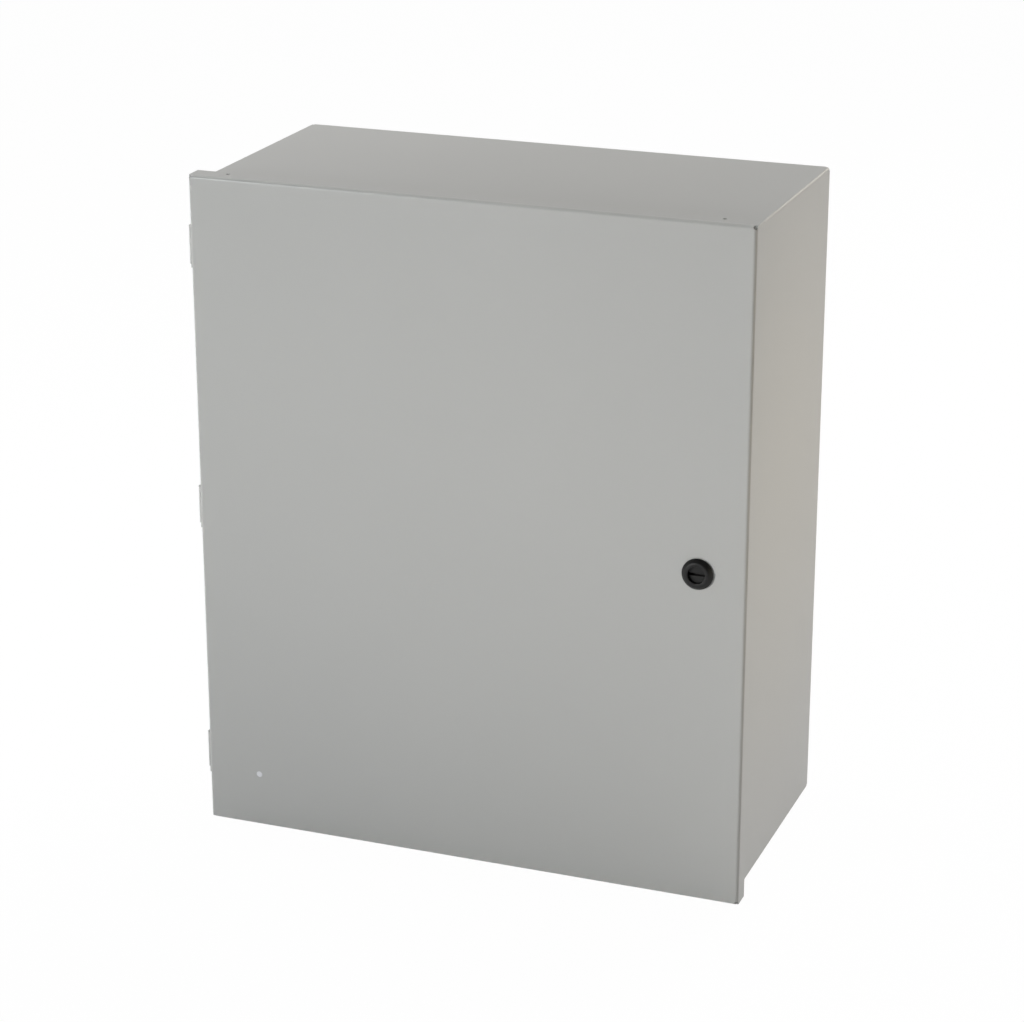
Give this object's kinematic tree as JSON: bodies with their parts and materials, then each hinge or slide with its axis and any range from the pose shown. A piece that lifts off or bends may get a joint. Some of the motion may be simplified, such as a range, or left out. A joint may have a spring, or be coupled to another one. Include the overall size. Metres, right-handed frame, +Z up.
{
  "type": "wall-mounted electrical enclosure",
  "caption": "Grey folded-steel wall enclosure with a side-hinged overlapping door, slotted quarter-turn latch, gasket, wall-fixing holes and an inner mounting panel.",
  "frame": {"origin": "on the wall plane, in the middle of the four mounting holes", "axes": "+X right seen from the front, +Y into the wall, +Z up; the door faces -Y"},
  "size_m": [0.5287, 0.2588, 0.6208],
  "materials": {
    "grey_paint": "satin powder coat",
    "white_paint": "satin powder coat",
    "zinc_steel": "zinc plated",
    "hinge_pin": "plain",
    "black_plastic": "moulded",
    "black_rubber": "matte",
    "gasket_foam": "matte foam"
  },
  "bodies": {
    "enclosure": {"body_shell": "grey_paint", "mounting_panel": "white_paint", "panel_studs": "zinc_steel", "panel_nuts": "zinc_steel", "body_ground_stud": "zinc_steel", "body_ground_nut": "zinc_steel", "hinge_frame_leaf_top": "grey_paint", "hinge_frame_leaf_middle": "grey_paint", "hinge_frame_leaf_bottom": "grey_paint", "hinge_pin_top": "hinge_pin", "hinge_pin_middle": "hinge_pin", "hinge_pin_bottom": "hinge_pin"},
    "door": {"door_panel": "grey_paint", "door_gasket": "gasket_foam", "hinge_door_leaf_top": "grey_paint", "hinge_door_leaf_middle": "grey_paint", "hinge_door_leaf_bottom": "grey_paint", "door_ground_stud": "zinc_steel", "door_ground_nut": "zinc_steel", "latch_housing": "black_plastic", "latch_seal": "black_rubber", "latch_nut": "zinc_steel"},
    "latch": {"latch_plug": "black_plastic", "plug_o_ring": "black_rubber", "latch_cam": "zinc_steel", "cam_washer": "zinc_steel", "cam_screw": "zinc_steel"}
  },
  "joints": [
    {"name": "door_hinge", "type": "hinge", "parent": "enclosure", "child": "door", "pos_m": [-0.2645, -0.2344, 0], "axis": [0, 0, -1], "range_deg": [0, 180]},
    {"name": "latch_turn", "type": "hinge", "parent": "door", "child": "latch", "pos_m": [0.2153, -0.245, 0], "axis": [0, 1, 0], "range_deg": [0, 90]}
  ]
}
